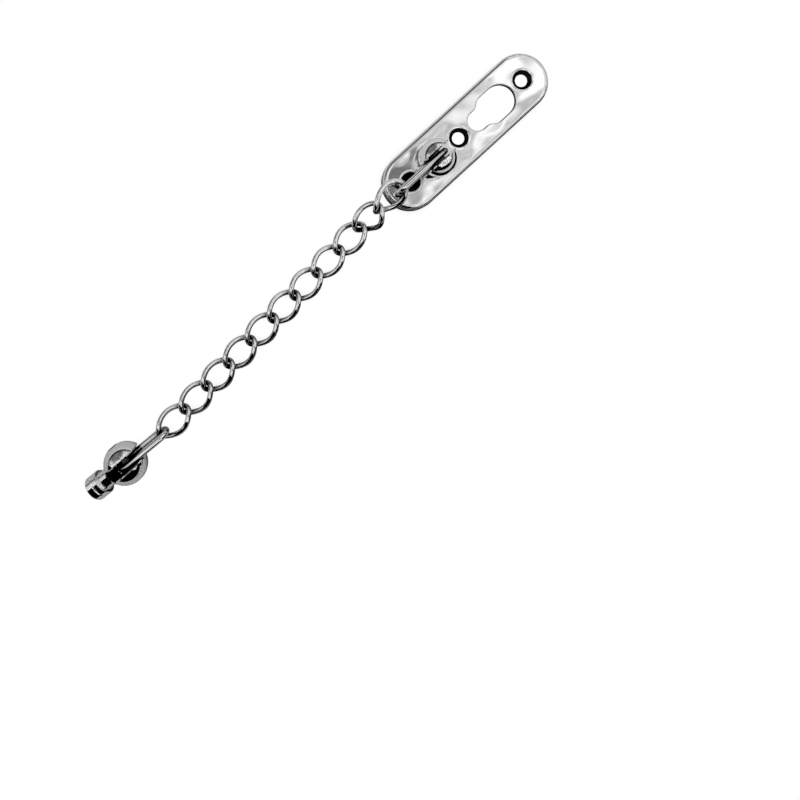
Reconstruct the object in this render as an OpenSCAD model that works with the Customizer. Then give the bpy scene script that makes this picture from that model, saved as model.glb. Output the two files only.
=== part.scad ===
// Door chain guard: keyhole plate with a slotted ball stud, a long link,
// eleven curb links, a second long link and a slotted ball key with a button head.
// Units mm. The plate's back lies on z = 0, +Z points away from the door,
// +Y points towards the keyhole end, and the chain is laid out along -Y.

/* [Plate] */
// width of the plate
plate_w = 22; // [20:0.5:26]
// length of the plate over its round ends
plate_l = 78.4; // [76:0.2:90]
// thickness of the pressed sheet
sheet_t = 1.8; // [1.5:0.1:2]
// outside radius where the face rolls down into the side walls
edge_r = 2; // [1.6:0.1:2.6]
// inside radius behind the rolled edge
inner_r = 0.6; // [0.3:0.1:1]

/* [Keyhole] */
// free play of the key's head in the entry
entry_play = 2; // [1:0.1:2.4]
// free play of the key's neck in the slot
neck_play = 0.4; // [0.3:0.1:0.8]
// centre of the round top of the entry, from the keyhole end of the plate
key_top_y = 21.8; // [21:0.1:22.4]
// centre of the round bottom of the slot, from the keyhole end
key_low_y = 33.4; // [32.6:0.1:33.6]
// lower end of the entry's straight sides, from the keyhole end
entry_low_y = 28; // [26.5:0.1:28.4]
// height of the sloping shoulders between entry and slot
shoulder_h = 3; // [2:0.1:4]

/* [Screw holes] */
// clear diameter of each hole
hole_d = 4.8; // [4:0.1:5.2]
// diameter of the countersink at the face
csk_d = 7.6; // [7:0.1:8]
// upper hole, from the keyhole end of the plate
hole_a = 10.3; // [9.6:0.1:11.2]
// hole between keyhole and stud, from the middle of the plate
hole_b = -3.85; // [-4.2:0.05:-3.4]
// hole under the long link, from the chain end of the plate
hole_c = 10.5; // [10:0.1:12]

/* [Stud] */
// diameter of the stud's ball
ball_d = 14.4; // [13.8:0.1:15]
// place of the stud, from the chain end of the plate
stud_y = 22.6; // [22.2:0.1:23.2]
// diameter of the neck under the ball
stud_neck_d = 7.4; // [6:0.1:8]
// gap between the ball and the face
stud_lift = 0.3; // [0.2:0.1:1.5]
// diameter of the tail that goes through the sheet
tail_d = 5; // [4:0.1:6]
// diameter of the peened end behind the sheet
peen_d = 8.4; // [7:0.1:9]
// height of the peened end
peen_t = 1.5; // [1:0.1:2]

/* [Slots and cross pins] */
// free play of the long link in the stud's slot
slot_play = 1.3; // [1:0.1:1.6]
// free play of the long link in the key's slot, where it leans over
key_slot_play = 2.2; // [1.9:0.1:2.3]
// diameter of both cross pins
pin_d = 4; // [3.6:0.1:4.2]
// gap between a cross pin and the bow that turns on it
pin_play = 0.15; // [0.1:0.05:0.3]
// depth of the stud's slot below the bow that turns in it
stud_floor_play = 1.1; // [0.9:0.05:1.3]
// depth of the key's slot behind the bow that turns in it
key_floor_play = 1.8; // [0.5:0.1:2]

/* [Long links] */
// wire of the two long links
long_wire = 2.5; // [2.2:0.1:2.6]
// length of a long link over the wire
long_len = 25; // [24:0.1:27]
// inside width of a long link
long_in = 5.4; // [5:0.1:5.8]
// gap between the laid-down long link and the plate's face
rest_gap = 0.4; // [0.3:0.1:1]

/* [Curb links] */
// wire of the curb links
curb_wire = 2.1; // [1.8:0.05:2.1]
// length of a curb link over the wire
curb_len = 16.7; // [16:0.05:17.5]
// width of a curb link over the wire
curb_w = 11.6; // [11:0.1:12]
// twist of each end of a curb link
curb_twist = 45; // [42:1:48]

/* [Key] */
// diameter of the key's ball
key_ball_d = 16.6; // [16:0.1:17.6]
// diameter of the neck
neck_d = 7.3; // [6.6:0.1:7.8]
// length of the neck between ball and head
neck_len = 3.9; // [3:0.1:5]
// diameter of the button head
head_d = 10; // [9:0.1:10.6]
// length of the button head
head_len = 6; // [5.4:0.1:6.6]
// play of the head between the sheet and the door
head_play = 0.4; // [0.3:0.1:1]
// length of the head's cap, outside the groove
cap_len = 2.8; // [2:0.1:3.2]
// width of the groove round the head
groove_w = 0.6; // [0.4:0.1:0.8]
// depth of the groove
groove_t = 0.3; // [0.2:0.1:0.5]
// bevel on the head's edges
head_bevel = 0.4; // [0.2:0.1:0.6]

/* [Hidden] */
$fn = 96;
n_links = 11;
plate_h = sheet_t + head_len + head_play;
stud_z = plate_h + ball_d / 2 + stud_lift;
r_ends = plate_w / 2;
y_ends = plate_l / 2 - r_ends;
function from_top(y) = plate_l / 2 - y;
function from_foot(y) = y - plate_l / 2;
stud_at = from_foot(stud_y);
key_wide = head_d + entry_play;
key_narrow = neck_d + neck_play;
slot_w = long_wire + slot_play;
key_slot_w = long_wire + key_slot_play;
long_out = long_in + 2 * long_wire;
slot_low = long_out / 2 + stud_floor_play;
key_slot_low = long_out / 2 + key_floor_play;
curb_a = (curb_w - curb_wire) / 2;
curb_b = (curb_len - curb_wire) / 2;

// free play left between neighbouring wires, plate end first
play = [0.85, 0.6, 0.7, 0.23, 0.2, 0.2, 0.2, 0.2, 0.2, 0.2, 0.2, 0.5];
side_step = -1.4;
lie_gap = 0.03;

function dir(slope, head) = [-sin(head) * cos(slope), cos(head) * cos(slope), sin(slope)];
function unit(v) = v / norm(v);

// long link on the stud: its upper bow goes round the pin and its lower bow lies on the face
long_half = (long_len - long_wire) / 2;
bow_r = (long_in + long_wire) / 2;
pin_gap = pin_d / 2 + pin_play + long_wire / 2;
fall = stud_z - plate_h - long_out / 2 - rest_gap;
long_slope = asin(fall / (2 * long_half - pin_gap - bow_r));
u_long = dir(long_slope, 0);
c_long = [0, stud_at, stud_z] + u_long * (pin_gap - long_half);
tip_long = c_long - u_long * long_half;

// laid-out pose: roll, heading and slope of each curb link, in degrees
rolls = [30, 10, 0, 0, 0, 0, 0, 0, 0, 0, 0];
heading = 3.6;
function slopes_for(s) = [0.36 * s, s, 0.06 * s, 0, 0, 0, 0, 0, 0, -2.2, -6.5];

// each curb link hangs on the lower tip of the one before it
function u_of(i, s) = dir(slopes_for(s)[i], heading);
function before(i, s) = i == 0 ? u_long : u_of(i - 1, s);
function reach(i) = i == 0 ? (long_wire + curb_wire) / 2 + play[0] : curb_wire + play[i];
function shift(i) = i == 0 ? [side_step, 0, 0] : [0, 0, 0];
function hook(i, s) = reach(i) * unit(before(i, s) + u_of(i, s)) + shift(i);
function top_of(i, s) = tip_of(i - 1, s) + hook(i, s);
function tip_of(i, s) = i < 0 ? tip_long : top_of(i, s) - 2 * curb_b * u_of(i, s);
function centre_of(i, s) = top_of(i, s) - curb_b * u_of(i, s);

// point of a curb link's centre line at angle p: the oval lies in a plane that turns with y
function turn(p) = curb_twist * sin(p);
function mid(p) = [curb_a * cos(p) * cos(turn(p)), curb_b * sin(p), curb_a * cos(p) * sin(turn(p))];

// a curb link lies this high, and the slopes bring the chain down to that height;
// each slope is found by halving the span that holds it
halvings = 30;
lie = max([for (p = [0:1:90]) mid(p)[2]]) + curb_wire / 2 + lie_gap;
function drop(low, high, n) = let (m = (low + high) / 2) n == 0 ? m :
  centre_of(4, m)[2] > lie ? drop(m, high, n - 1) : drop(low, m, n - 1);
gentle = 4;
steep = 45;
s_chain = drop(gentle, steep, halvings);
slopes = slopes_for(s_chain);
tip_chain = tip_of(n_links - 1, s_chain);
u_chain = u_of(n_links - 1, s_chain);

// long link of the key: it slopes up to the centre of the key's ball, which lies on z = 0
key_heading = -3.6;
key_lean = 14;
reach_key = (long_wire + curb_wire) / 2 + play[n_links];
function tip_key(s) = tip_chain + reach_key * unit(u_chain + dir(s, key_heading));
function key_at(s) = tip_key(s) - (2 * long_half - pin_gap) * dir(s, key_heading);
function lift(low, high, n) = let (m = (low + high) / 2) n == 0 ? m :
  key_at(m)[2] < key_ball_d / 2 ? lift(low, m, n - 1) : lift(m, high, n - 1);
key_low = -35;
key_high = 10;
key_slope = lift(key_low, key_high, halvings);
c_key_link = tip_key(key_slope) - long_half * dir(key_slope, key_heading);
c_key = key_at(key_slope);

// the key's ball and head both lie on z = 0, so its axis tilts; the link leans over in its slot
ball_heading = -2.5;
ball_roll = 4;
neck_end = sqrt(pow(key_ball_d / 2, 2) - pow(neck_d / 2, 2)) + neck_len;
head_end = neck_end + head_len;
rim = head_end - head_bevel;
key_tilt = asin(key_ball_d / 2 / norm([rim, head_d / 2])) - atan2(head_d / 2, rim);

// ---------- plate: a pressed cover with rolled edges, open at the back ----------

// half of the cross-section, from the middle line to the outer wall
module half_section(w, h, r) {
  square([w - r, h]);
  square([w, h - r]);
  translate([w - r, h - r]) circle(r);
}

module cover(w, h, r) {
  for (s = [0, 180]) rotate([0, 0, s]) translate([0, y_ends, 0])
    rotate_extrude(angle = 180) half_section(w, h, r);
  translate([0, y_ends, 0]) rotate([90, 0, 0]) linear_extrude(2 * y_ends) {
    half_section(w, h, r);
    mirror([1, 0]) half_section(w, h, r);
  }
}

module keyhole_outline() {
  wide = key_wide / 2;
  slim = key_narrow / 2;
  top = from_top(key_top_y);
  foot = from_top(key_low_y);
  wide_end = from_top(entry_low_y);
  slim_top = wide_end - shoulder_h;
  translate([0, top]) circle(wide);
  translate([0, foot]) circle(slim);
  polygon([[-wide, top], [wide, top], [wide, wide_end], [slim, slim_top],
    [slim, foot], [-slim, foot], [-slim, slim_top], [-wide, wide_end]]);
}

module screw_hole(y) {
  depth = (csk_d - hole_d) / 2;
  translate([0, y, 0]) cylinder(d = hole_d, h = plate_h + 1);
  translate([0, y, plate_h - depth]) cylinder(d1 = hole_d, d2 = csk_d + 0.2, h = depth + 0.1);
}

module back_plate() color("silver") difference() {
  cover(r_ends, plate_h, edge_r);
  translate([0, 0, -1]) cover(r_ends - sheet_t, plate_h - sheet_t + 1, inner_r);
  translate([0, 0, -1]) linear_extrude(plate_h + 2) keyhole_outline();
  screw_hole(from_top(hole_a));
  screw_hole(hole_b);
  screw_hole(from_foot(hole_c));
  translate([0, stud_at, 0]) cylinder(d = tail_d, h = plate_h + 1);
}

// length of a cross pin whose ends lie flush with a ball
function pin_len(ball) = sqrt(ball * ball - pin_d * pin_d) - 0.2;

// ---------- stud: slotted ball on a short neck, its tail peened over behind the sheet ----------

module stud_ball() color("silver") translate([0, stud_at, 0]) difference() {
  union() {
    translate([0, 0, stud_z]) sphere(d = ball_d);
    translate([0, 0, plate_h]) cylinder(d = stud_neck_d, h = stud_lift + ball_d / 8);
    translate([0, 0, plate_h - sheet_t - peen_t / 2]) cylinder(d = tail_d, h = sheet_t + peen_t);
    translate([0, 0, plate_h - sheet_t - peen_t]) cylinder(d1 = peen_d - 1.2, d2 = peen_d, h = 0.5);
    translate([0, 0, plate_h - sheet_t - peen_t + 0.5]) cylinder(d = peen_d, h = peen_t - 0.5);
  }
  translate([-slot_w / 2, -ball_d, stud_z - slot_low]) cube([slot_w, 2 * ball_d, 2 * ball_d]);
  translate([-ball_d, 0, stud_z]) rotate([0, 90, 0]) cylinder(d = pin_d, h = 2 * ball_d);
}

module stud_pin() color("gray") translate([-pin_len(ball_d) / 2, stud_at, stud_z])
  rotate([0, 90, 0]) cylinder(d = pin_d, h = pin_len(ball_d));

// ---------- long links: straight legs closed by two half rings ----------

module long_link() {
  leg = long_half - bow_r;
  for (s = [-1, 1]) translate([0, leg, s * bow_r]) rotate([90, 0, 0])
    cylinder(d = long_wire, h = 2 * leg);
  for (s = [0, 180]) rotate([s, 0, 0]) translate([0, leg, 0]) rotate([0, 90, 0])
    rotate_extrude(angle = 180) translate([bow_r, 0]) circle(d = long_wire);
}

module plate_long_link() color("silver") translate(c_long) rotate([long_slope, 0, 0]) long_link();

module key_long_link() color("silver") translate(c_key_link)
  rotate([key_slope, 0, key_heading]) rotate([0, key_lean, 0]) long_link();

// ---------- curb links: an oval of round wire, twisted about its long axis ----------

rings = 48;
sides = 12;

function along(p) = unit(mid(p + 0.5) - mid(p - 0.5));
function face(p) = [-sin(turn(p)), 0, cos(turn(p))];
function nor(p) = unit(face(p) - (face(p) * along(p)) * along(p));
function side(p) = cross(along(p), nor(p));
function skin(p, q) = mid(p) + curb_wire / 2 * (cos(q) * nor(p) + sin(q) * side(p));

curb_points = [for (i = [0:rings - 1]) for (j = [0:sides - 1])
  skin(360 * i / rings, 360 * j / sides)];
curb_faces = [for (i = [0:rings - 1]) for (j = [0:sides - 1]) let (
    a = i * sides + j,
    b = i * sides + (j + 1) % sides,
    c = ((i + 1) % rings) * sides + (j + 1) % sides,
    d = ((i + 1) % rings) * sides + j)
  each [[a, b, c], [a, c, d]]];

module curb(i) color("silver") translate(centre_of(i, s_chain)) rotate([slopes[i], 0, heading])
  rotate([0, rolls[i], 0]) polyhedron(points = curb_points, faces = curb_faces);

module link_01() curb(0);
module link_02() curb(1);
module link_03() curb(2);
module link_04() curb(3);
module link_05() curb(4);
module link_06() curb(5);
module link_07() curb(6);
module link_08() curb(7);
module link_09() curb(8);
module link_10() curb(9);
module link_11() curb(10);

// ---------- key: slotted ball, neck and button head in one turned piece ----------

// places a piece whose +Y runs up the chain and whose centre is the ball's centre
module at_key() translate(c_key) rotate([key_tilt, 0, ball_heading]) rotate([0, ball_roll, 0])
  children();

module key_body() color("silver") at_key() difference() {
  r = head_d / 2;
  cap = head_end - cap_len;
  union() {
    sphere(d = key_ball_d);
    rotate([90, 0, 0]) rotate_extrude() polygon([[0, key_slot_low], [neck_d / 2, key_slot_low],
      [neck_d / 2, neck_end], [r - head_bevel, neck_end + 0.6], [r, neck_end + 0.6 + head_bevel],
      [r, cap - groove_w], [r - groove_t, cap - 2 * groove_w / 3],
      [r - groove_t, cap - groove_w / 3], [r, cap], [r, rim], [r - head_bevel, head_end],
      [0, head_end]]);
  }
  translate([-key_slot_w / 2, -key_slot_low, -key_ball_d])
    cube([key_slot_w, 2 * key_ball_d, 2 * key_ball_d]);
  translate([-key_ball_d, 0, 0]) rotate([0, 90, 0]) cylinder(d = pin_d, h = 2 * key_ball_d);
}

module key_pin() color("gray") at_key() translate([-pin_len(key_ball_d) / 2, 0, 0])
  rotate([0, 90, 0]) cylinder(d = pin_d, h = pin_len(key_ball_d));

back_plate();
stud_ball();
stud_pin();
plate_long_link();
link_01();
link_02();
link_03();
link_04();
link_05();
link_06();
link_07();
link_08();
link_09();
link_10();
link_11();
key_long_link();
key_body();
key_pin();
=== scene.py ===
# %% [markdown]
# # Door chain guard
# A bright nickel guard lies open on a white table: a pressed plate with a
# keyhole and a slotted ball, a long link, eleven twisted curb links, a second
# long link, and the key that slides into the plate.
#
# The construction is there already, as a frame of plain solids that carries the
# joints. This script dresses it: each solid gets a finer piece in its place.
# Every surface is a formula, worked out with numpy as one array of points. The
# plate stands on the frame's own axes, and the other places are measured from
# the solids themselves, so that looks and construction can't come apart.

import math

import bpy
import numpy as np
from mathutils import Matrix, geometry


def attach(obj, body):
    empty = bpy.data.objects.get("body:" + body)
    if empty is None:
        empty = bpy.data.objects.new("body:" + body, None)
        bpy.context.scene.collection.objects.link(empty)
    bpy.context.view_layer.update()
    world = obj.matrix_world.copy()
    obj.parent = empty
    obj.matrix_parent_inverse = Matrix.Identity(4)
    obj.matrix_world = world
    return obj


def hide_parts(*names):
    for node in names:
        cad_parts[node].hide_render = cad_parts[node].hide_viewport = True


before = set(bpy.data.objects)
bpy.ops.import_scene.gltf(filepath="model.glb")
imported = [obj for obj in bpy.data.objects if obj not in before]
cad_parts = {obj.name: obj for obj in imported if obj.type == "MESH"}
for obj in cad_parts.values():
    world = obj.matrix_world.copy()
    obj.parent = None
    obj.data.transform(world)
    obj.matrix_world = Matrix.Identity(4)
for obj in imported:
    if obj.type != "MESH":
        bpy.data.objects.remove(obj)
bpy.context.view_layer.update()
MM = 0.001

# %% [markdown]
# ## Where the frame holds each piece
# Every link of the chain lies at its own angle. Those angles could be typed in
# again, but a number that is written twice comes apart sooner or later. So each
# link is measured. Half a turn about any of its own three axes leaves a link as
# it was, so these are the principal axes of its surface, and those come out of
# the triangles of its solid.

# %% Measuring the frame
def principal(node):
    """(centre, axes) of a CAD node in mm. The moments of the surface are
    C = sum(area * (c - m)(c - m)^T) over triangles; its eigenvectors are the
    axes, as columns: long axis last, shortest first, right-handed."""
    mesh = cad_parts[node].data
    mesh.calc_loop_triangles()
    points = np.empty(3 * len(mesh.vertices))
    mesh.vertices.foreach_get("co", points)
    points = points.reshape(-1, 3) / MM
    corners = points[np.array([t.vertices for t in mesh.loop_triangles])]
    a, b, c = corners[:, 0], corners[:, 1], corners[:, 2]
    area = np.linalg.norm(np.cross(b - a, c - a), axis=1)
    centre = (area[:, None] * corners.mean(axis=1)).sum(axis=0) / area.sum()
    spread = sum((area[:, None, None] * d[:, :, None] * d[:, None, :]).sum(axis=0)
                 for d in (a - centre, b - centre, c - centre))
    axes = np.linalg.eigh(spread)[1]
    if np.linalg.det(axes) < 0:
        axes[:, 0] = -axes[:, 0]
    return centre, axes


CURBS = ["link_%02d" % i for i in range(1, 12)]
LONGS = ["plate_long_link", "key_long_link"]
place = {name: principal(name) for name in CURBS + LONGS + ["stud_pin", "key_pin", "key_body"]}
print("link 1 at", np.round(place["link_01"][0], 2), "mm")
print("key at", np.round(place["key_pin"][0], 2), "mm")

# %% [markdown]
# ## Colours and nodes
# A finish is a small network of nodes. Typing each node out takes five lines
# that all look alike, so one function adds a node with its settings and links.
# Colours are written as sRGB hex codes, as on a paint chart, and turned to the
# linear values that Blender works in.

# %% Colours and nodes
def colour(code):
    """Linear colour of an sRGB hex code."""
    values = [int(code[i:i + 2], 16) / 255 for i in (0, 2, 4)]
    return [v / 12.92 if v <= 0.04045 else ((v + 0.055) / 1.055) ** 2.4 for v in values] + [1.0]


def add(tree, kind, links=(), **values):
    """One node of that kind: values set its sockets or properties, and each of
    links joins (other node, its output) to the named input."""
    node = tree.nodes.new(kind)
    for name, value in values.items():
        if hasattr(node, name):
            setattr(node, name, value)
        else:
            node.inputs[name.replace("_", " ")].default_value = value
    for other, output, name in links:
        tree.links.new(other.outputs[output], node.inputs[name])
    return node


def surfaced(name, tint, **values):
    """A material of one tint, values on its shader's sockets. Returns it and the shader."""
    made = bpy.data.materials.new(name)
    made.use_nodes = True
    shader = made.node_tree.nodes["Principled BSDF"]
    shader.inputs["Base Color"].default_value = colour(tint)
    for socket, value in values.items():
        shader.inputs[socket.replace("_", " ")].default_value = value
    return made, shader


print("the middle grey 808080 is", round(colour("808080")[0], 3), "in linear light")

# %% [markdown]
# ## Finishes
# Everything is bright nickel over metal: a clear, slightly grey mirror. What
# tells the pieces apart is how they were smoothed before they were plated. The
# plate was polished on a soft wheel, which leaves slow waves, so what it mirrors
# looks cloudy. The waves are far too low to be worth modelling, and a bump
# shows them just as well.
#
# Where a neighbour shields the surface, the colour is darkened as painted shade.
# Those places could be painted by hand, but ambient occlusion finds them from the
# shapes themselves.

# %% Finishes
def metal(name, tint, roughness):
    """A polished metal of one tint. Returns the material and its shader node."""
    return surfaced(name, tint, Metallic=1.0, Roughness=roughness)


def wavy(made, shader, stretch, tall, detail):
    """Low waves in the surface: noise of about 1/stretch mm, tall mm high."""
    tree = made.node_tree
    where = add(tree, "ShaderNodeTexCoord")
    scaled = add(tree, "ShaderNodeMapping", [(where, "Object", "Vector")],
                 Scale=[s / MM for s in stretch])
    noise = add(tree, "ShaderNodeTexNoise", [(scaled, "Vector", "Vector")],
                Scale=1.0, Detail=detail, Roughness=0.4)
    bump = add(tree, "ShaderNodeBump", [(noise, "Fac", "Height")],
               Strength=1.0, Distance=tall * MM)
    tree.links.new(bump.outputs["Normal"], shader.inputs["Normal"])


def paint_nook_shade(made, shader, reach, closed, clear):
    """Painted shade: where neighbours crowd the surface the colour is darkened, running
    from dark to full as the share of open space within reach mm goes from closed to clear."""
    tree = made.node_tree
    tint = tuple(shader.inputs["Base Color"].default_value)
    nook = add(tree, "ShaderNodeAmbientOcclusion", samples=16, Distance=reach * MM)
    ramp = add(tree, "ShaderNodeValToRGB", [(nook, "AO", "Fac")])
    low, high = ramp.color_ramp.elements
    low.position, low.color = closed, colour("101012")
    high.position, high.color = clear, tint
    tree.links.new(ramp.outputs["Color"], shader.inputs["Base Color"])


# polished on a wheel: a mirror that is a little soft, in waves of 10 to 15 mm; the real
# waves are lower, and are drawn 0.55 mm high so that they show
plate_metal, shader = metal("bright nickel, wheel polished", "EEEEEF", 0.07)
wavy(plate_metal, shader, stretch=(0.10, 0.065, 0.08), tall=0.55, detail=1.0)
# painted shade: the plate's colour darkens in its nooks and countersink cones
paint_nook_shade(plate_metal, shader, reach=3.0, closed=0.30, clear=0.75)
# turned and plated: the sharpest mirror of all
ball_metal = metal("bright nickel, turned", "EFEFF0", 0.035)[0]
# wire tumbled in a barrel: nearly as sharp, with painted shade that turns it black where the links
# cross
chain_metal, shader = metal("bright nickel, tumbled", "F0F0F1", 0.045)
paint_nook_shade(chain_metal, shader, reach=3.5, closed=0.64, clear=0.92)
# steel cut off and left bare: a blurred shine, greyer than nickel, and drawn darker still as painted
# shade
pin_shade_metal = metal("steel pin, bare end, painted shade", "4A4A4D", 0.30)[0]
# a slot or the cone of a countersink: a dull gleam, made nearly black as painted shade
slot_shade_metal = metal("sawn slot, dull, painted shade", "242426", 0.42)[0]
print("materials:", [m.name for m in bpy.data.materials])

# %% [markdown]
# ## A surface and its normals
# A mirror shows every facet. Smooth shading guesses a normal at each point from
# the faces round it, and the guess shows as a dent next to every edge. A
# formula knows its normal exactly, so a surface here is a net of points with a
# normal for each. A sharp edge is two rows of points in one place with
# different normals.

# %% A surface
class Surface:
    """Points, normals and faces that grow piece by piece, all in mm. The set dull holds
    the numbers of the faces that aren't polished and are darkened as painted shade."""

    def __init__(self):
        self.points, self.normals, self.faces, self.dull = [], [], [], set()

    def grid(self, points, normals, around=True):
        """A net of points [rows, columns, 3]; around closes the columns. Two rows in the
        same place are a sharp edge, where only the normals change, and make no faces."""
        rows, cols = points.shape[:2]
        start = len(self.points)
        self.points += list(points.reshape(-1, 3))
        self.normals += list(normals.reshape(-1, 3))
        for i in range(rows - 1):
            if np.allclose(points[i], points[i + 1], atol=1e-6):
                continue
            here, there = start + i * cols, start + (i + 1) * cols
            for j in range(cols if around else cols - 1):
                k = (j + 1) % cols
                self.faces.append([here + j, here + k, there + k, there + j])

    def moved(self, centre, axes):
        """The same surface with its own x, y, z turned into the columns of axes."""
        self.points = list(np.array(self.points) @ np.array(axes).T + centre)
        self.normals = list(np.array(self.normals) @ np.array(axes).T)
        return self

    def join(self, other):
        """Takes in all of another surface."""
        start, first = len(self.points), len(self.faces)
        self.points += other.points
        self.normals += other.normals
        self.faces += [[start + i for i in face] for face in other.faces]
        self.dull |= {first + i for i in other.dull}

    def dull_from(self, first):
        """Every face from number first on is dull."""
        self.dull |= set(range(first, len(self.faces)))


print("a surface holds", sorted(vars(Surface())))

# %% [markdown]
# ## From a surface to an object
# The points go into a mesh in metres, in the frame's own axes, and the exact
# normals go with them. Then the piece is hung on the body it rides on, and the
# solid it stands for is hidden.

# %% Making an object
def build(surface, name, nodes, body, slot, *materials):
    """Makes the object, faces outwards, with its exact normals. Faces listed in
    surface.dull get the second material, the dull one darkened as painted shade."""
    points, normals = np.array(surface.points), np.array(surface.normals)
    faces = []
    for f in surface.faces:
        c = points[f]
        out = np.cross(c[1] - c[0], c[2] - c[0])
        if len(f) == 4:
            out = out + np.cross(c[2] - c[0], c[3] - c[0])
        faces.append(f if out @ normals[f].sum(axis=0) > 0 else f[::-1])
    mesh = bpy.data.meshes.new(name)
    mesh.from_pydata(points * MM, [], faces)
    mesh.polygons.foreach_set("use_smooth", [True] * len(mesh.polygons))
    mesh.normals_split_custom_set_from_vertices(normals)
    for material in materials:
        mesh.materials.append(material)
    if surface.dull:
        mesh.polygons.foreach_set("material_index",
                                  [int(i in surface.dull) for i in range(len(faces))])
    made = bpy.data.objects.new(name.replace(" ", "_"), mesh)
    bpy.context.scene.collection.objects.link(made)
    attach(made, body)
    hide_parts(*nodes)


# %% [markdown]
# ## Bending a wire
# All thirteen links are round wire. A curve with a bevel would make them in one
# step, but it turns the section by its own rules and gives no exact normals. So
# a circle is carried along the line of the wire.

# %% Bending a wire
def tube(surface, line, radius, flat_normal, sides):
    """A round wire along a closed line. At each point the section turns in the
    plane of n, the given normal made square to the line, and b = t x n."""
    along = np.roll(line, -1, axis=0) - np.roll(line, 1, axis=0)
    along /= np.linalg.norm(along, axis=1)[:, None]
    n = flat_normal - (flat_normal * along).sum(axis=1)[:, None] * along
    n /= np.linalg.norm(n, axis=1)[:, None]
    b = np.cross(along, n)
    q = np.arange(sides) * 2 * math.pi / sides
    normals = (n[:, None, :] * np.cos(q)[None, :, None]
               + b[:, None, :] * np.sin(q)[None, :, None])
    points = line[:, None, :] + radius * normals
    surface.grid(np.concatenate([points, points[:1]]), np.concatenate([normals, normals[:1]]))


SHAVED = 0.03  # mm taken off each wire all round, so that links at their limits only just miss
print("wires are", 2 * SHAVED, "mm thinner than in the construction")

# %% [markdown]
# ## Curb links
# A curb link is a plain oval link that was gripped at both ends and twisted, so
# that the chain lies flat. It is made the same way here: an oval in a plane, and
# the plane turns along the link, 45 degrees each way at the two ends.

# %% Curb links
# wire, half width and half length of the oval, in mm, and the twist in degrees
CURB_WIRE_R, CURB_A, CURB_B, CURB_TWIST = 1.05, 4.75, 7.3, 45.0
CURB_POINTS, CURB_SIDES = 144, 28


def curb_link():
    """x = a cos p cos w, y = b sin p, z = a cos p sin w, with the twist w = 45 sin p degrees."""
    p = np.arange(CURB_POINTS) * 2 * math.pi / CURB_POINTS
    w = math.radians(CURB_TWIST) * np.sin(p)
    line = np.stack([CURB_A * np.cos(p) * np.cos(w), CURB_B * np.sin(p),
                     CURB_A * np.cos(p) * np.sin(w)], axis=1)
    face = np.stack([-np.sin(w), 0 * p, np.cos(w)], axis=1)
    surface = Surface()
    tube(surface, line, CURB_WIRE_R - SHAVED, face, CURB_SIDES)
    return surface


for name in CURBS:
    centre, axes = place[name]
    wire = curb_link().moved(centre, axes[:, [1, 2, 0]])
    build(wire, name + " wire", [name], name, "chain_nickel", chain_metal)
print("curb links:", len(CURBS), "of", 2 * (CURB_B + CURB_WIRE_R), "mm")

# %% [markdown]
# ## Long links
# A long link is not twisted. It runs through the slot of a ball and round the
# ball's pin, and is a flat loop of thicker wire: two half circles and two
# straight legs. The legs need no points of their own between the bows.

# %% Long links
# wire, half width and half length of the centre line, in mm
LONG_WIRE_R, LONG_BOW, LONG_HALF = 1.25, 3.95, 11.25
BOW_POINTS, LONG_SIDES = 41, 36


def long_link():
    """Two straight legs at z = +-bow closed by half circles of radius bow, in the plane x = 0."""
    leg = LONG_HALF - LONG_BOW
    q = np.linspace(0, math.pi, BOW_POINTS)
    bow = np.stack([0 * q, leg + LONG_BOW * np.sin(q), LONG_BOW * np.cos(q)], axis=1)
    line = np.concatenate([bow, bow * [1, -1, -1]])
    surface = Surface()
    tube(surface, line, LONG_WIRE_R - SHAVED, np.tile([1.0, 0, 0], (len(line), 1)), LONG_SIDES)
    return surface


for name in LONGS:
    centre, axes = place[name]
    wire = long_link().moved(centre, axes[:, [0, 2, 1]] * [1, 1, -1])
    build(wire, name + " wire", [name], name, "chain_nickel", chain_metal)
print("long links:", len(LONGS), "of", 2 * (LONG_HALF + LONG_WIRE_R), "mm")

# %% [markdown]
# ## Turning on a lathe
# The balls, the stud, the key and the pins are turned. A lathe here is a list of
# points (radius, height, tilt of the normal) carried once round. A Screw or
# Spin would give the shape as well, but not the normals.

# %% Turning
TIP = 0.01  # mm, the smallest radius of a turned end
HAIR = 0.02  # mm between surfaces that touch


def lathe(surface, profile, steps=96):
    """Turns profile, a list of (r, z, tilt), about z: the point (r cos a, r sin a, z)
    has the normal (sin(tilt) cos a, sin(tilt) sin a, cos(tilt)), tilt in degrees."""
    a = np.arange(steps) * 2 * math.pi / steps
    r, z, tilt = (np.array(c, float)[:, None] for c in zip(*profile))
    tilt = np.radians(tilt)
    one = np.ones_like(a)
    points = np.stack([r * np.cos(a), r * np.sin(a), z * one], axis=2)
    normals = np.stack([np.sin(tilt) * np.cos(a), np.sin(tilt) * np.sin(a),
                        np.cos(tilt) * one], axis=2)
    surface.grid(points, normals)


def round_over(r, z, size, start, end, steps=8):
    """Points of a rounded edge of that size about the centre (r, z), tilt from start to
    end in degrees. A negative size makes a hollow fillet."""
    return [(r + size * math.sin(t), z + size * math.cos(t), math.degrees(t))
            for t in np.radians(np.linspace(start, end, steps + 1))]


print("a quarter round has", len(round_over(0, 0, 1, 0, 90)), "points")

# %% [markdown]
# ## Slotted balls
# Both balls are turned, sawn down the middle for the long link, and drilled for
# a cross pin. A Boolean could cut a sphere, but it leaves ragged triangles
# in a mirror. So a ball is put together from what the saw leaves: two cheeks,
# turned about the pin's axis, and a web below the slot. The saw breaks the edge
# a little, and the narrow bright rim that this leaves is modelled too.

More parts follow.
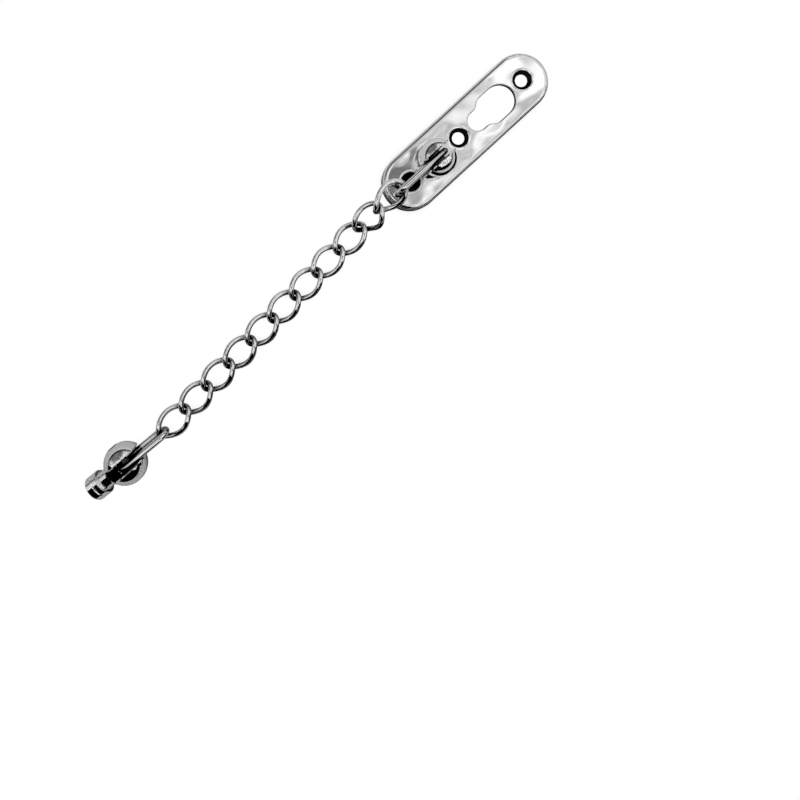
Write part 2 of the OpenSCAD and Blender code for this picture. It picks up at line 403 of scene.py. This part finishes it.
# %% Slotted balls
RIM, RIM_TILT, RIM_DROP = 0.42, 128, 0.75  # width in mm, degrees, depth as a share of width
PIN_R, PIN_SEAT = 2.0, 1.2  # mm, the pin's radius and how deep its seat shows
CHEEK_STEPS = 128
CHEEK_BANDS = 39  # between the pin hole and the rim
# the dull bands of a cheek are darkened as painted shade
SEAT_BANDS = 3  # the first bands of a cheek, the pin's seat and its edge, are dull
WEB_ACROSS, WEB_ALONG = 9, 41


def slotted_ball(surface, radius, floor, slot):
    """Cheeks are turned about x: the sphere r = sqrt(R^2 - x^2) from the pin hole to the
    broken rim, then the slot's wall at x = slot. The web fills the slot below
    z = -floor. The seat of the pin and the sawn faces are dull and darkened as painted shade."""
    hole = math.sqrt(radius ** 2 - PIN_R ** 2)
    rim_x = slot + RIM
    arc = round_over(0, 0, radius, math.degrees(math.asin(PIN_R / radius)),
                     math.degrees(math.acos(rim_x / radius)), CHEEK_BANDS)
    rim_r, wall_r = arc[-1][0], arc[-1][0] - RIM_DROP * RIM
    profile = [(PIN_R, hole - PIN_SEAT, -90), (PIN_R, hole, -90)] + arc
    profile += [(rim_r, rim_x, RIM_TILT), (wall_r, slot, RIM_TILT),
                (wall_r, slot, 180), (TIP, slot, 180)]
    for side in (1, -1):
        cheek = Surface()
        lathe(cheek, profile, CHEEK_STEPS)
        cheek.dull = set(range(SEAT_BANDS * CHEEK_STEPS))
        cheek.dull_from(len(cheek.faces) - CHEEK_STEPS)
        axes = np.array([[0, 0, side], [0, 1, 0], [-side, 0, 0]], float)
        surface.join(cheek.moved(np.zeros(3), axes))
    x = np.linspace(-rim_x, rim_x, WEB_ACROSS)[:, None]
    r = np.sqrt(radius ** 2 - x ** 2)
    a = np.arccos(floor / r) * np.linspace(-1, 1, WEB_ALONG)
    points = np.stack([x + 0 * a, r * np.sin(a), -r * np.cos(a)], axis=2)
    surface.grid(points, points / radius, around=False)
    lid = points.copy()
    lid[:, :, 2] = -floor
    first = len(surface.faces)
    surface.grid(lid, np.tile([0.0, 0, 1], lid.shape[:2] + (1,)), around=False)
    surface.dull_from(first)


print("a slot's edge is broken by", RIM, "mm")

# %% [markdown]
# ## Cross pins
# Each pin was pressed in and ends just below the ball, with a slightly rounded
# edge. Only the ends show, but the whole pin is made, because it can be seen
# through the slot.

# %% Cross pins
PIN_BELOW, PIN_ROUND, PIN_STEPS = 0.12, 0.2, 48


def pin(radius):
    """A cylinder along z between two slightly rounded ends, just below the ball's surface."""
    half = math.sqrt(radius ** 2 - PIN_R ** 2) - PIN_BELOW
    end_r = PIN_R - PIN_ROUND - HAIR
    end = [(TIP, half, 0), (end_r, half, 0)]
    end += round_over(end_r, half - PIN_ROUND, PIN_ROUND, 0, 90, 4)
    surface = Surface()
    lathe(surface, end + [(r, -z, 180 - t) for r, z, t in end[::-1]], PIN_STEPS)
    return surface


print("pins are", 2 * PIN_R, "mm thick")

# %% [markdown]
# ## Stud
# The stud is a ball on a short neck. Its tail goes through the sheet and is
# hammered over behind it, which is called peening, so the stud can't be pulled
# out. The tail is out of sight from the front, but not from the back.

# %% Stud
PLATE_H, SHEET = 8.2, 1.8  # the plate's height and its sheet
STUD_BALL_R, STUD_FLOOR, STUD_SLOT_HALF = 7.2, 6.3, 1.9
STUD_NECK_R, STUD_NECK_IN = 3.7, 6.1  # the neck starts inside the ball
TAIL_R, PEEN_R, PEEN, PEEN_ROUND, TAIL_STEPS = 2.5, 4.2, 1.5, 0.6, 64
X, Y, Z = np.eye(3)
stud_centre = place["stud_pin"][0]
stud = Surface()
slotted_ball(stud, STUD_BALL_R, STUD_FLOOR, STUD_SLOT_HALF)
face_z = PLATE_H - stud_centre[2]
back = face_z - SHEET
lathe(stud, [(STUD_NECK_R, -STUD_NECK_IN, 90), (STUD_NECK_R, face_z + HAIR, 90)])
# the tail goes through the sheet and spreads behind it
peen_r = PEEN_R - PEEN_ROUND
tail = [(TAIL_R, face_z, 90), (TAIL_R, back, 90), (peen_r, back - HAIR, 0)]
tail += [(PEEN_R, back - 0.5, 90)]
tail += round_over(peen_r, back - PEEN + PEEN_ROUND, PEEN_ROUND, 90, 180)
lathe(stud, tail + [(TIP, back - PEEN, 180)], TAIL_STEPS)
build(stud.moved(stud_centre, np.eye(3)), "stud ball", ["stud_ball"], "plate", "ball_nickel",
      ball_metal, slot_shade_metal)
stud_pin = pin(STUD_BALL_R).moved(stud_centre, np.stack([Y, Z, X], axis=1))
build(stud_pin, "stud pin end", ["stud_pin"], "plate", "pin_steel", pin_shade_metal)
print("stud ball at", np.round(stud_centre, 2), "mm")

# %% [markdown]
# ## Key
# The key is one turned piece: ball, neck and button head, with a fine groove
# round the head. It leans in its slot, so its axes are worked out: one runs from
# the key's middle to its pin, and one follows the pin.

# %% Key
KEY_BALL_R, KEY_FLOOR, KEY_SLOT_HALF = 8.3, 7.0, 2.35
KEY_NECK_R, KEY_NECK, HEAD_R, HEAD = 3.65, 3.9, 5.0, 6.0
GROOVE, GROOVE_DEEP = 2.8, 0.28  # from the head's end, and its depth
HEAD_UNDER, HEAD_TOP = 0.35, 0.45  # roundings
key_centre, pin_axes = place["key_pin"]
up_chain = key_centre - place["key_body"][0]
up_chain /= np.linalg.norm(up_chain)
across = pin_axes[:, 2] - (pin_axes[:, 2] @ up_chain) * up_chain
across *= np.sign(across[0]) / np.linalg.norm(across)
key_axes = np.stack([across, np.cross(up_chain, across), up_chain], axis=1)
neck_end = math.sqrt(KEY_BALL_R ** 2 - KEY_NECK_R ** 2) + KEY_NECK
head_end = neck_end + HEAD
groove, dip = head_end - GROOVE, HEAD_R - GROOVE_DEEP
# (r, distance from the ball's centre, tilt), outwards: hollow, neck, underside of the head,
# groove, top
turned = [(KEY_NECK_R + 0.5, 7.05, 60), (KEY_NECK_R + 0.12, 7.6, 75), (KEY_NECK_R, 8.1, 90)]
turned += [(KEY_NECK_R, neck_end - 0.3, 90), (KEY_NECK_R + 0.3, neck_end, 170)]
turned += [(KEY_NECK_R + 0.3, neck_end, 180), (HEAD_R - 0.45, neck_end + 0.4, 170)]
turned += round_over(HEAD_R - HEAD_UNDER, neck_end + 0.8, HEAD_UNDER, 180, 90, 4)
turned += [(HEAD_R, groove - 0.75, 90), (HEAD_R, groove - 0.75, 50), (dip, groove - 0.45, 50)]
turned += [(dip, groove - 0.45, 90), (dip, groove - 0.25, 90), (dip, groove - 0.25, 130)]
turned += [(HEAD_R, groove, 130), (HEAD_R, groove, 90)]
turned += round_over(HEAD_R - HEAD_TOP, head_end - HEAD_TOP, HEAD_TOP, 90, 0, 5)
turned += [(HEAD_R - HEAD_TOP, head_end, 0), (TIP, head_end, 0)]
key = Surface()
slotted_ball(key, KEY_BALL_R, KEY_FLOOR, KEY_SLOT_HALF)
lathe(key, [(r, -z, 180 - t) for r, z, t in turned])
build(key.moved(key_centre, key_axes), "key", ["key_body"], "key", "ball_nickel",
      ball_metal, slot_shade_metal)
key_pin = pin(KEY_BALL_R).moved(key_centre, key_axes[:, [1, 2, 0]])
build(key_pin, "key pin end", ["key_pin"], "key", "pin_steel", pin_shade_metal)
print("key ball at", np.round(key_centre, 2), "mm")

# %% [markdown]
# ## The plate's outlines
# The plate is pressed from sheet, so it has nearly one thickness everywhere, and
# its edges are bends. Three kinds of outline carry those bends: the long round-ended
# outside, the keyhole, and the screw holes. Each is a line of points with the
# normals that point out of it. The keyhole is a round entry and a narrower slot.
# A press tool softens its corners, and here a moving average does.

# %% Outlines
PLATE_W, PLATE_L = 22.0, 78.4
ENTRY_R, SLOT_R = 6.0, 3.85  # the keyhole's round entry and its slot
KEYHOLE_TOP, KEYHOLE_FOOT, ENTRY_LOW, SHOULDER = 17.4, 5.8, 11.2, 3.0
KEYHOLE_STEP = 0.12  # mm between points along the keyhole
KEYHOLE_BLEND = 8  # points each way that soften its corners


def stadium(steps=60):
    """Points and outward normals of the outline: two half circles and the straight
    sides between."""
    q = np.linspace(0, math.pi, steps + 1)
    n = np.stack([np.cos(q), np.sin(q)], axis=1)
    c = PLATE_L / 2 - PLATE_W / 2
    points = np.concatenate([n * PLATE_W / 2 + [0, c], -n * PLATE_W / 2 - [0, c]])
    return points, np.concatenate([n, -n])


def keyhole(steps=80):
    """Even points along the keyhole, its corners softened by a moving average, with
    normals that point away from the opening."""
    q = np.linspace(0, math.pi, steps)
    top = np.stack([ENTRY_R * np.cos(q), KEYHOLE_TOP + ENTRY_R * np.sin(q)], axis=1)
    low = np.stack([-SLOT_R * np.cos(q), KEYHOLE_FOOT - SLOT_R * np.sin(q)], axis=1)
    slot_top = ENTRY_LOW - SHOULDER
    rough = np.concatenate([top, [[-ENTRY_R, ENTRY_LOW], [-SLOT_R, slot_top]],
                            low, [[SLOT_R, slot_top], [ENTRY_R, ENTRY_LOW]], top[:1]])
    length = np.cumsum(np.linalg.norm(np.diff(rough, axis=0), axis=1))
    length = np.concatenate([[0], length])
    count = int(length[-1] / KEYHOLE_STEP)
    s = np.arange(count) * length[-1] / count
    line = np.stack([np.interp(s, length, rough[:, k]) for k in (0, 1)], axis=1)
    blend = range(-KEYHOLE_BLEND, KEYHOLE_BLEND + 1)
    line = sum(np.roll(line, k, axis=0) for k in blend) / len(blend)
    along = np.roll(line, -1, axis=0) - np.roll(line, 1, axis=0)
    along /= np.linalg.norm(along, axis=1)[:, None]
    return line, np.stack([along[:, 1], -along[:, 0]], axis=1)


def circle(y, steps=96):
    """The centre (0, y) for every point of a circle, and its outward normals."""
    q = np.arange(steps) * 2 * math.pi / steps
    n = np.stack([np.cos(q), np.sin(q)], axis=1)
    return np.array([[0.0, y]]) + 0 * n, n


edge, mouth = stadium(), keyhole()
print("outline of", len(edge[0]), "points, keyhole of", len(mouth[0]))

# %% [markdown]
# ## Carrying a cross-section
# A bend is a short profile of (distance from the outline, height, tilt of the
# normal). Carried along its outline it gives the rolled edge, the keyhole's lip
# or a countersink.

# %% Carrying a profile
def follow(surface, outline, profile):
    """Carries profile along an outline: the point is p + d n at height z, and its normal is
    (sin(tilt) n, cos(tilt)), tilt in degrees."""
    p, n = outline
    d, z, tilt = (np.array(c, float)[:, None, None] for c in zip(*profile))
    tilt = np.radians(tilt)
    flat = p[None] + d * n[None]
    high = z + 0 * flat[:, :, :1]
    normals = np.concatenate([np.sin(tilt) * n[None] + 0 * flat, np.cos(tilt) + 0 * high], axis=2)
    surface.grid(np.concatenate([flat, high], axis=2), normals)


def offset(outline, d):
    """The outline's points moved by d along their normals."""
    return outline[0] + d * outline[1]


EDGE_R = 2.0  # mm, the rolled edge
print("inside its rolled edge the face is", round(2 * offset(edge, -EDGE_R)[:, 0].max(), 2), "mm wide")

# %% [markdown]
# ## Flat faces with holes
# Between the bends the sheet is flat. A fan of triangles can't go round holes, so
# a constrained Delaunay net joins the rings, and the triangles that fall in a
# hole are left out.

# %% Flat faces
def flat(surface, rings, z, up, inside):
    """A flat sheet at height z between closed rings of (x, y), kept where inside(x, y)."""
    start, points, edges = len(surface.points), [], []
    for ring in rings:
        n, k = len(points), len(ring)
        points += [tuple(p) for p in ring]
        edges += [(n + i, n + (i + 1) % k) for i in range(k)]
    made = geometry.delaunay_2d_cdt(points, edges, [], 0, 1e-7)
    surface.points += [np.array([p[0], p[1], z]) for p in made[0]]
    surface.normals += [np.array([0.0, 0.0, up])] * len(made[0])
    for face in made[2]:
        corners = [made[0][i] for i in face]
        x, y = (sum(c[k] for c in corners) / 3 for k in (0, 1))
        if inside(x, y):
            surface.faces.append([start + i for i in (face if up > 0 else face[::-1])])


def within(ring, x, y):
    """True where (x, y) lies inside a closed ring: a ray to the right crosses it an odd
    number of times."""
    a, b = ring, np.roll(ring, -1, axis=0)
    crosses = (a[:, 1] > y) != (b[:, 1] > y)
    rise = np.where(crosses, b[:, 1] - a[:, 1], 1)
    at = a[:, 0] + (y - a[:, 1]) / rise * (b[:, 0] - a[:, 0])
    return (crosses & (x < at)).sum() % 2 == 1


def open_rings(rings):
    """A test for being inside the first ring and outside all the others."""
    return lambda x, y: within(rings[0], x, y) and not any(within(r, x, y) for r in rings[1:])


print("the origin lies in the sheet:", bool(within(edge[0], 0, 0) and not within(mouth[0], 0, 0)))

# %% [markdown]
# ## Plate
# The plate is put together from outside to inside: rolled edge, wall and foot,
# the hollow behind, the keyhole's lip, and three countersinks. The press drags
# the sheet down a little round each countersink, and that shallow dish bends
# what the plate mirrors there.

# %% Plate
INNER_R, FOOT_R, LIP = 0.6, 0.15, 0.55  # behind the rolled edge, at the foot, round the keyhole
HOLES = (28.9, -3.85, -28.7)  # along the plate
HOLE_R, COUNTERSINK_R, MOUTH = 2.4, 3.8, 0.1  # the cone's mouth is soft
DISH_R, SAG = 4.7, 0.10  # how far the dish reaches, and how deep it is
plate = Surface()
under = PLATE_H - SHEET
rolled = round_over(-EDGE_R, PLATE_H - EDGE_R, EDGE_R, 0, 90, 16)
rolled += [(0, FOOT_R, 90), (-FOOT_R, 0, 180), (FOOT_R - SHEET, 0, 180), (-SHEET, FOOT_R, 270)]
rolled += round_over(-SHEET - INNER_R, under - INNER_R, -INNER_R, 270, 180, 6)
follow(plate, edge, rolled)
lip = round_over(LIP, PLATE_H - LIP, LIP, 0, -90)
follow(plate, mouth, lip + [(0, under, -90), (0, under, -180)])

# the dish sinks by SAG (k / wide)^2, k being the way in from its edge, so its slope is
# 2 SAG k / wide^2; the cone below it opens to 90 degrees
wide = DISH_R - COUNTERSINK_R
dish = [(DISH_R - k, PLATE_H - SAG * (k / wide) ** 2,
         -math.degrees(math.atan(2 * SAG * k / wide ** 2))) for k in np.linspace(0, wide, 8)]
cone_top = dish[-1][1]
cone_foot = PLATE_H - (COUNTERSINK_R - HOLE_R)
cone = dish[-1:] + [(COUNTERSINK_R - MOUTH, cone_top - 0.6 * MOUTH, -40),
                    (COUNTERSINK_R - 1.5 * MOUTH, cone_top - 1.2 * MOUTH, -45),
                    (HOLE_R, cone_foot, -45), (HOLE_R, cone_foot, -90), (HOLE_R, under, -90)]
for y in HOLES:
    follow(plate, circle(y), dish)
    # the cones take the dull material, darkened as painted shade
    first = len(plate.faces)
    follow(plate, circle(y), cone)
    plate.dull_from(first)
front = [offset(edge, -EDGE_R), offset(mouth, LIP)]
front += [offset(circle(y), DISH_R) for y in HOLES]
flat(plate, front, PLATE_H, 1, open_rings(front))
behind = [offset(edge, -SHEET - INNER_R), offset(mouth, 0)]
behind += [offset(circle(y), HOLE_R) for y in HOLES]
flat(plate, behind, under, -1, open_rings(behind))
build(plate, "pressed plate", ["back_plate"], "plate", "plate_nickel", plate_metal, slot_shade_metal)
print("plate:", len(plate.faces), "faces")

# %% [markdown]
# ## Camera
# The camera hangs close by, straight above the chain, about 280 mm up, so the
# plate is seen slightly from its chain end. It looks straight down, which keeps
# the table square to it, and the lens is shifted to place the guard in the
# frame.

# %% Camera
EYE = (-1.18, -79.89, 280.0)
TURN = 47.5
lens = bpy.data.cameras.new("close camera")
lens.lens, lens.sensor_width = 32.04, 36.0
lens.shift_x, lens.shift_y = 0.1125, -0.1625
lens.clip_start, lens.clip_end = 0.01, 10
camera = bpy.data.objects.new("close camera", lens)
camera.location = [v * MM for v in EYE]
camera.rotation_euler = (0, 0, math.radians(TURN))
bpy.context.scene.collection.objects.link(camera)
bpy.context.scene.camera = camera
bpy.context.scene.view_settings.view_transform = "Standard"
print("camera", round(lens.lens, 1), "mm lens,", EYE[2], "mm up")

# %% [markdown]
# ## Studio: table
# Bright metal shows the room more than itself, so the room is the light. A lamp
# would give small hard dots on every wire, so there is none: the guard lies on
# a white table in a tent of white cloth. A mirror between white and white
# vanishes, so black cards round it give the shapes their dark halves, and a black
# strip on the table, which the camera doesn't see, is a painted shadow beside the chain.
#
# The table is white to the camera, with a faint painted shadow where something
# touches it, and the metal mirrors it as it is lit, with a painted shadow beside
# whatever stands on it. From below the table is clear, so that the back can be seen.

# %% Table
TABLE, TABLE_Z = 1500.0, -0.2
STRIP_Z = -0.19
WHITE = (1, 1, 1, 1)


def stage(name, points, material, seen=False):
    """A flat piece of the studio through the given corners, in mm. The metal mirrors it,
    and the camera looks through it unless seen is true."""
    mesh = bpy.data.meshes.new(name)
    mesh.from_pydata([[v * MM for v in p] for p in points], [], [tuple(range(len(points)))])
    mesh.materials.append(material)
    made = bpy.data.objects.new(name, mesh)
    made.visible_camera = seen
    bpy.context.scene.collection.objects.link(made)


def table_top(name, dark):
    """White to the camera, with a faint painted shadow where something touches it, and clear
    from below. The metal sees it as it is lit, with a painted shadow on the +x side of
    whatever stands on it, or black all over if dark."""
    made = bpy.data.materials.new(name)
    made.use_nodes = True
    tree = made.node_tree
    tree.nodes.clear()
    path = add(tree, "ShaderNodeLightPath")
    lit = add(tree, "ShaderNodeBsdfDiffuse", Color=colour("0A0A0A"))
    if not dark:
        # painted shadow: ambient occlusion that looks to the -x side darkens the table to the +x side
        # of things
        tilted = add(tree, "ShaderNodeCombineXYZ", X=-0.34, Z=0.94)
        nook = add(tree, "ShaderNodeAmbientOcclusion", [(tilted, "Vector", "Normal")],
                   samples=16, Distance=16.0 * MM)
        grey = add(tree, "ShaderNodeMapRange", [(nook, "AO", "Value")],
                   From_Min=0.45, From_Max=0.95, To_Min=0.02, To_Max=1.0)
        tree.links.new(grey.outputs["Result"], lit.inputs["Color"])
    # painted contact shadow, seen by the camera
    touch = add(tree, "ShaderNodeAmbientOcclusion", samples=8, Distance=4.0 * MM)
    faint = add(tree, "ShaderNodeMapRange", [(touch, "AO", "Value")],
                From_Min=0.40, From_Max=0.75, To_Min=0.86, To_Max=1.0)
    clean = add(tree, "ShaderNodeEmission", [(faint, "Result", "Strength")], Color=WHITE)
    front = add(tree, "ShaderNodeMixShader",
                [(path, "Is Camera Ray", "Fac"), (lit, "BSDF", 1), (clean, "Emission", 2)])
    side = add(tree, "ShaderNodeNewGeometry")
    through = add(tree, "ShaderNodeBsdfTransparent")
    both = add(tree, "ShaderNodeMixShader",
               [(side, "Backfacing", "Fac"), (front, "Shader", 1), (through, "BSDF", 2)])
    add(tree, "ShaderNodeOutputMaterial", [(both, "Shader", "Surface")])
    return made


corners = [(-TABLE, -TABLE), (TABLE, -TABLE), (TABLE, TABLE), (-TABLE, TABLE)]
stage("table", [(x, y, TABLE_Z) for x, y in corners], table_top("white table", False), True)
# painted shadow: a black strip on the table beside the chain, seen only in the metal
strip = [(6.5, -150), (45, -150), (45, 50), (14, 50), (14, -38), (6.5, -46)]
stage("painted shadow strip", [(x, y, STRIP_Z) for x, y in strip], table_top("painted shadow strip", True), True)
print("table of", 2 * TABLE * MM, "m")

# %% [markdown]
# ## Studio: cards
# Each card is one flat face of felt, which mirrors nothing. The tall one stands
# at the near side, in line with the camera's turn, and its upper edge rises and
# falls so that the dark halves of chain, key and plate end where they should. A
# low one stands beside the chain. The camera's body hangs over the guard with a
# grey flag beside it, and a black disc under the lowest screw hole is painted shade
# that makes the hole black.

# %% Cards
CARD_AWAY = 150.0  # from the eye's foot
BEHIND_EYE = 6.0
# painted shade: radius, place, height and steps of the black disc under the lowest hole
SHADE_DISC_R, SHADE_DISC_Y, SHADE_DISC_Z, SHADE_DISC_STEPS = 7.0, HOLES[-1] + 1.5, 0.1, 32

# wool felt: matt all through, it mirrors nothing and only takes the light away
felt = {"Roughness": 1.0, "Specular_IOR_Level": 0.0}
black_felt = surfaced("black felt", "0A0A0A", **felt)[0]
grey_felt = surfaced("grey felt", "9C9C9C", **felt)[0]

# the card's directions: along it, and the level way from the eye's foot to it
along = np.array([math.cos(math.radians(TURN)), math.sin(math.radians(TURN)), 0])
near = np.array([along[1], -along[0], 0])
card_foot = np.array([EYE[0], EYE[1], 0]) + CARD_AWAY * near
card = [(-700, 6), (700, 6), (700, 140), (240, 120), (110, 90), (40, 128), (-30, 140), (-70, 230),
        (-700, 230)]
stage("black card", [card_foot + s * along + [0, 0, h] for s, h in card], black_felt)
low_card = [(-150, 5), (-62, 5), (-62, 52), (-80, 80), (-120, 80), (-150, 30)]
stage("low card beside the chain", [(45, y, z) for y, z in low_card], black_felt)
box = [(-64, -46), (64, -46), (64, 46), (-64, 46)]
over_eye = np.array(EYE) + [0, 0, BEHIND_EYE]
stage("camera body", [over_eye + a * along + b * near for a, b in box], black_felt)
flag = [(-26, -14), (-3, -14), (-6, 40), (-26, 30)]
stage("grey flag", [(x, y, EYE[2] + BEHIND_EYE) for x, y in flag], grey_felt)
# painted shade: a black disc on the table makes the lowest screw hole black
disc = np.linspace(0, 2 * math.pi, SHADE_DISC_STEPS, endpoint=False)
stage("painted shade under the lowest hole",
      [(SHADE_DISC_R * math.cos(t), SHADE_DISC_Y + SHADE_DISC_R * math.sin(t), SHADE_DISC_Z) for t in disc],
      black_felt, True)
print("tall card at", np.round(card_foot[:2]), "mm")

# %% [markdown]
# ## Studio: tent
# The tent is the world itself. It is brightest overhead, has a grey curtain to
# the left and soft folds, and is dark where it meets the table. The folds make
# the plate's waves show. The camera sees plain white instead.

# %% Tent
CURTAIN = (-0.95, 0.0, 0.30)
world = bpy.data.worlds.new("light tent")
bpy.context.scene.world = world
world.use_nodes = True
tree = world.node_tree
tree.nodes.clear()
path = add(tree, "ShaderNodeLightPath")
way = add(tree, "ShaderNodeTexCoord")
# a grey curtain to the left
toward = add(tree, "ShaderNodeVectorMath", [(way, "Generated", 0)], operation="DOT_PRODUCT")
toward.inputs[1].default_value = CURTAIN
curtain = add(tree, "ShaderNodeMapRange", [(toward, "Value", "Value")],
              interpolation_type="SMOOTHSTEP",
              From_Min=0.72, From_Max=0.93, To_Min=1.0, To_Max=0.22)
# soft folds in the cloth
cloud = add(tree, "ShaderNodeTexNoise", [(way, "Generated", "Vector")], Scale=9.0, Detail=1.0)
folds = add(tree, "ShaderNodeMapRange", [(cloud, "Fac", "Value")],
            From_Min=0.38, From_Max=0.68, To_Min=0.42, To_Max=1.25)
# dark where the cloth meets the table
height = add(tree, "ShaderNodeSeparateXYZ", [(way, "Generated", "Vector")])
foot = add(tree, "ShaderNodeMapRange", [(height, "Z", "Value")],
           interpolation_type="SMOOTHSTEP",
           From_Min=0.06, From_Max=0.36, To_Min=0.12, To_Max=1.0)
shade = add(tree, "ShaderNodeMath", [(curtain, "Result", 0), (folds, "Result", 1)],
            operation="MULTIPLY")
light = add(tree, "ShaderNodeMath", [(shade, "Value", 0), (foot, "Result", 1)],
            operation="MULTIPLY")
# the camera itself sees plain white
soft = add(tree, "ShaderNodeBackground", [(light, "Value", "Strength")], Color=WHITE)
bright = add(tree, "ShaderNodeBackground", Color=WHITE, Strength=1.0)
tent = add(tree, "ShaderNodeMixShader",
           [(path, "Is Camera Ray", "Fac"), (soft, "Background", 1), (bright, "Background", 2)])
add(tree, "ShaderNodeOutputWorld", [(tent, "Shader", "Surface")])
print("tent:", len(tree.nodes), "nodes")

# %% [markdown]
# ## Finish
